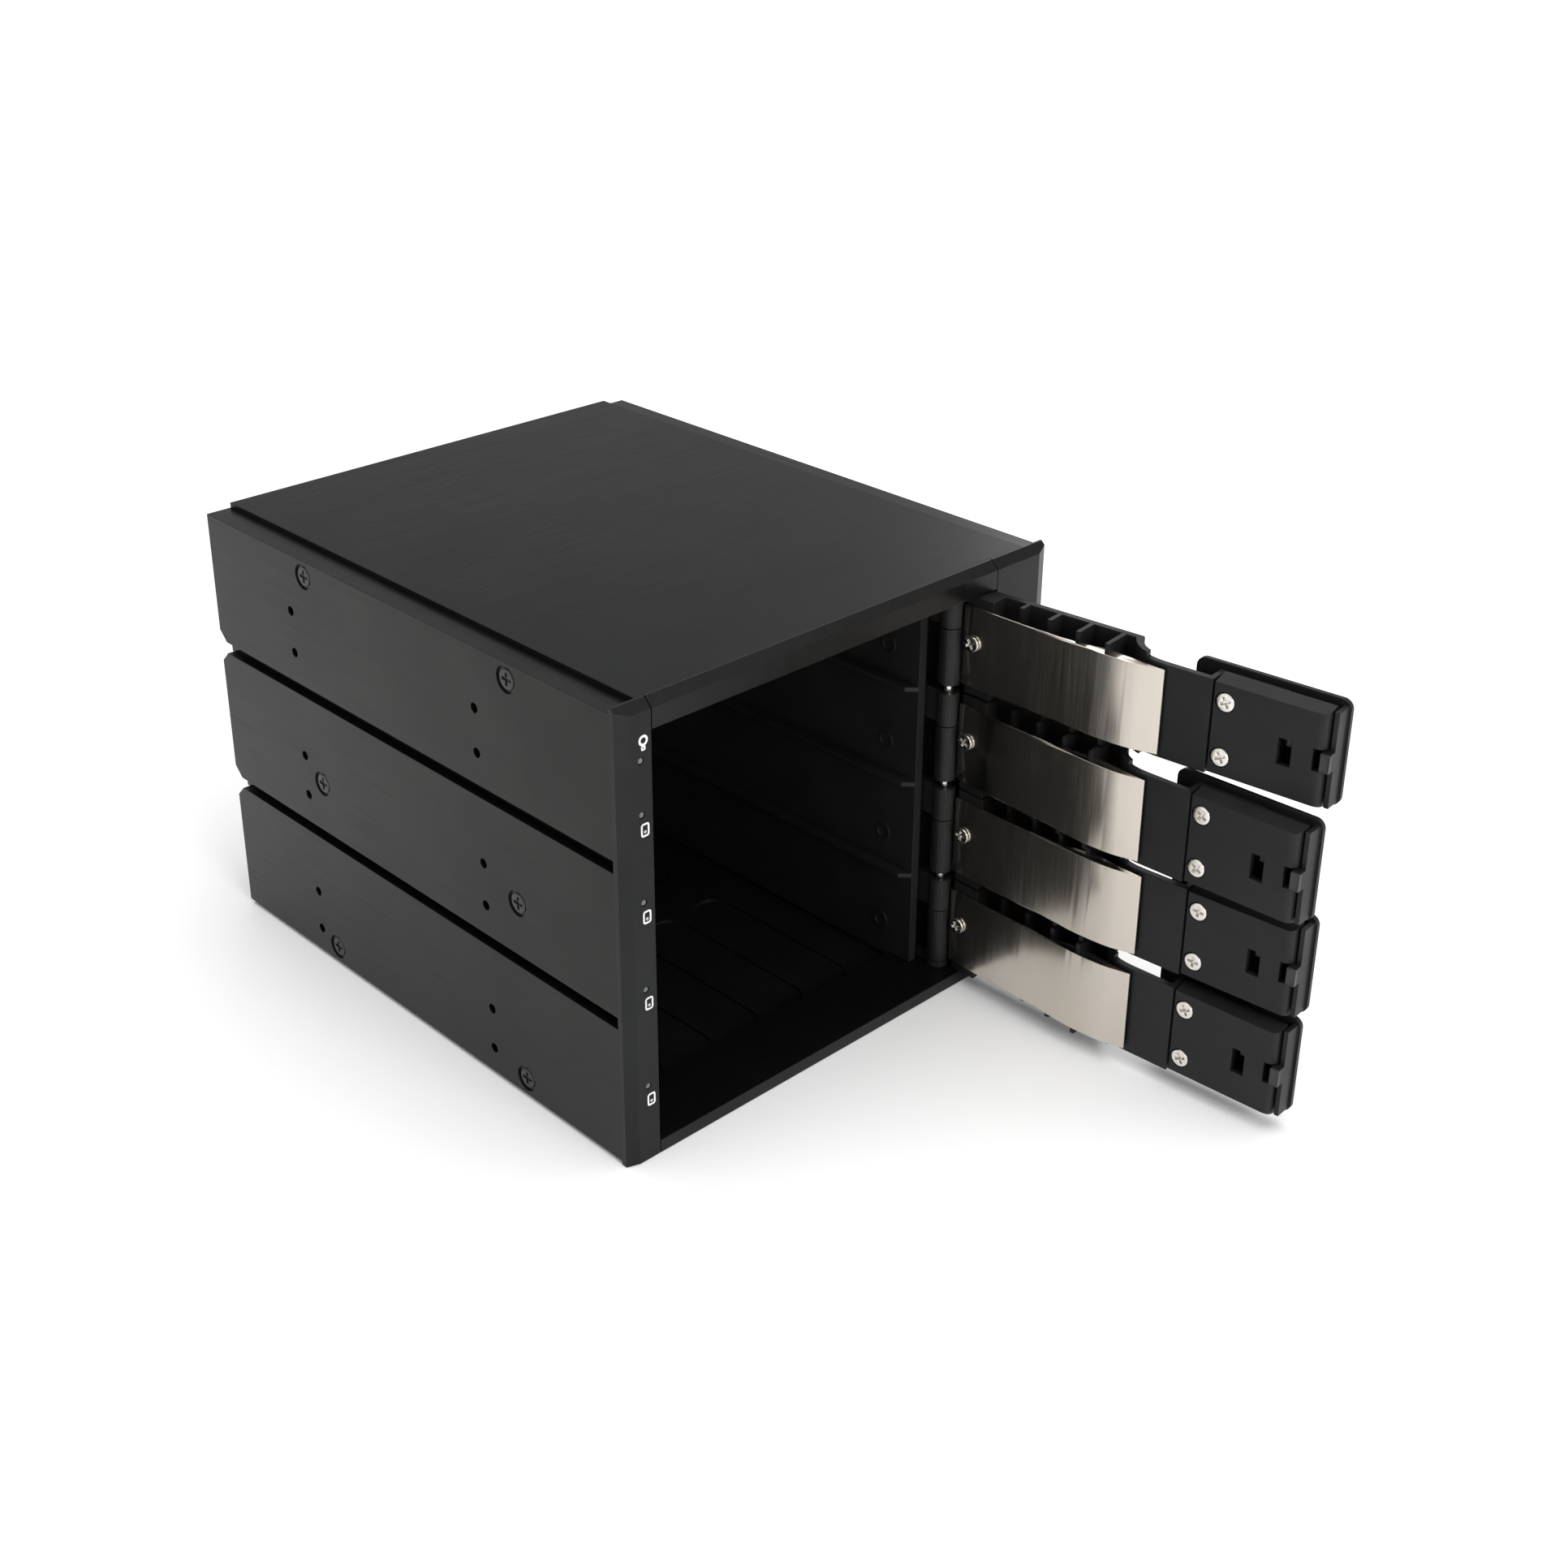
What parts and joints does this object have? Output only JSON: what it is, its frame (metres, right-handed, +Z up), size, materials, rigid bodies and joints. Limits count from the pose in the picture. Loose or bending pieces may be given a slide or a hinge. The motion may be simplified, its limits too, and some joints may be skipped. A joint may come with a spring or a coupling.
{
  "type": "hot-swap drive cage",
  "caption": "Black aluminium drive cage for 3.5 inch disks, with side-hinged latching doors standing open and a rear fan.",
  "frame": {"origin": "middle of the cage's underside", "axes": "+Z up, the doors' side faces -Y, +X to the right as seen from the front"},
  "size_m": [0.146, 0.2921, 0.1226],
  "materials": {
    "anodised_shell": "black anodised, brushed along its length",
    "anodised_front": "black anodised with bevelled edges",
    "inner_plastic": "moulded black plastic, fine grain",
    "door_plastic": "moulded black plastic, fine grain",
    "spring_steel": "bare brushed stainless spring steel",
    "screw_steel": "bright plated steel",
    "wire_steel": "plated steel wire",
    "circuit_board": "dark green solder mask",
    "light_plastic": "smoked clear light guide",
    "socket_plastic": "black connector plastic"
  },
  "bodies": {
    "cage": {"side_panel_right": "anodised_shell", "side_panel_left": "anodised_shell", "top_plate": "anodised_shell", "bottom_plate": "anodised_shell", "bezel_post_left": "anodised_front", "bezel_post_right": "anodised_front", "bezel_bar_top": "anodised_front", "bezel_bar_bottom": "anodised_front", "guide_wall_left": "inner_plastic", "guide_wall_right": "inner_plastic", "hinge_column": "inner_plastic", "hinge_pin": "screw_steel", "backplane_board": "circuit_board", "power_connector_upper": "socket_plastic", "power_connector_lower": "socket_plastic", "rear_plate": "anodised_shell", "fan_frame": "inner_plastic", "fan_motor_mount": "inner_plastic", "fan_grille": "wire_steel", "light_guide": "light_plastic", "light_board": "circuit_board", "drive_connector_1": "socket_plastic", "data_connector_1": "socket_plastic", "drive_connector_2": "socket_plastic", "data_connector_2": "socket_plastic", "drive_connector_3": "socket_plastic", "data_connector_3": "socket_plastic", "drive_connector_4": "socket_plastic", "data_connector_4": "socket_plastic"},
    "fan_rotor_body": {"fan_rotor": "inner_plastic"},
    "door_1": {"door_body_1": "door_plastic", "spring_plate_1": "spring_steel", "spring_plate_screw_1": "screw_steel", "latch_block_1": "door_plastic", "latch_screw_upper_1": "screw_steel", "latch_screw_lower_1": "screw_steel"},
    "lever_1": {"latch_lever_1": "door_plastic"},
    "door_2": {"door_body_2": "door_plastic", "spring_plate_2": "spring_steel", "spring_plate_screw_2": "screw_steel", "latch_block_2": "door_plastic", "latch_screw_upper_2": "screw_steel", "latch_screw_lower_2": "screw_steel"},
    "lever_2": {"latch_lever_2": "door_plastic"},
    "door_3": {"door_body_3": "door_plastic", "spring_plate_3": "spring_steel", "spring_plate_screw_3": "screw_steel", "latch_block_3": "door_plastic", "latch_screw_upper_3": "screw_steel", "latch_screw_lower_3": "screw_steel"},
    "lever_3": {"latch_lever_3": "door_plastic"},
    "door_4": {"door_body_4": "door_plastic", "spring_plate_4": "spring_steel", "spring_plate_screw_4": "screw_steel", "latch_block_4": "door_plastic", "latch_screw_upper_4": "screw_steel", "latch_screw_lower_4": "screw_steel"},
    "lever_4": {"latch_lever_4": "door_plastic"}
  },
  "joints": [
    {"name": "fan_spin", "type": "hinge", "parent": "cage", "child": "fan_rotor_body", "pos_m": [-0.0125, 0.094, 0.0613], "axis": [0, 1, 0], "continuous": true},
    {"name": "door_1_hinge", "type": "hinge", "parent": "cage", "child": "door_1", "pos_m": [0.0445, -0.0796, 0.10124], "axis": [0, 0, 1], "range_deg": [-96.3, 3.7]},
    {"name": "lever_1_pivot", "type": "hinge", "parent": "door_1", "child": "lever_1", "pos_m": [0.05839, -0.17716, 0.10124], "axis": [0, 0, -1], "range_deg": [0, 14], "stiffness_Nm_per_rad": 0.05},
    {"name": "door_2_hinge", "type": "hinge", "parent": "cage", "child": "door_2", "pos_m": [0.0445, -0.0796, 0.07331], "axis": [0, 0, 1], "range_deg": [-92.3, 7.7]},
    {"name": "lever_2_pivot", "type": "hinge", "parent": "door_2", "child": "lever_2", "pos_m": [0.05155, -0.1779, 0.07331], "axis": [0, 0, -1], "range_deg": [0, 14], "stiffness_Nm_per_rad": 0.05},
    {"name": "door_3_hinge", "type": "hinge", "parent": "cage", "child": "door_3", "pos_m": [0.0445, -0.0796, 0.04539], "axis": [0, 0, 1], "range_deg": [-94.5, 5.5]},
    {"name": "lever_3_pivot", "type": "hinge", "parent": "door_3", "child": "lever_3", "pos_m": [0.05532, -0.17755, 0.04539], "axis": [0, 0, -1], "range_deg": [0, 14], "stiffness_Nm_per_rad": 0.05},
    {"name": "door_4_hinge", "type": "hinge", "parent": "cage", "child": "door_4", "pos_m": [0.0445, -0.0796, 0.01746], "axis": [0, 0, 1], "range_deg": [-93.4, 6.6]},
    {"name": "lever_4_pivot", "type": "hinge", "parent": "door_4", "child": "lever_4", "pos_m": [0.05344, -0.17774, 0.01746], "axis": [0, 0, -1], "range_deg": [0, 14], "stiffness_Nm_per_rad": 0.05}
  ]
}
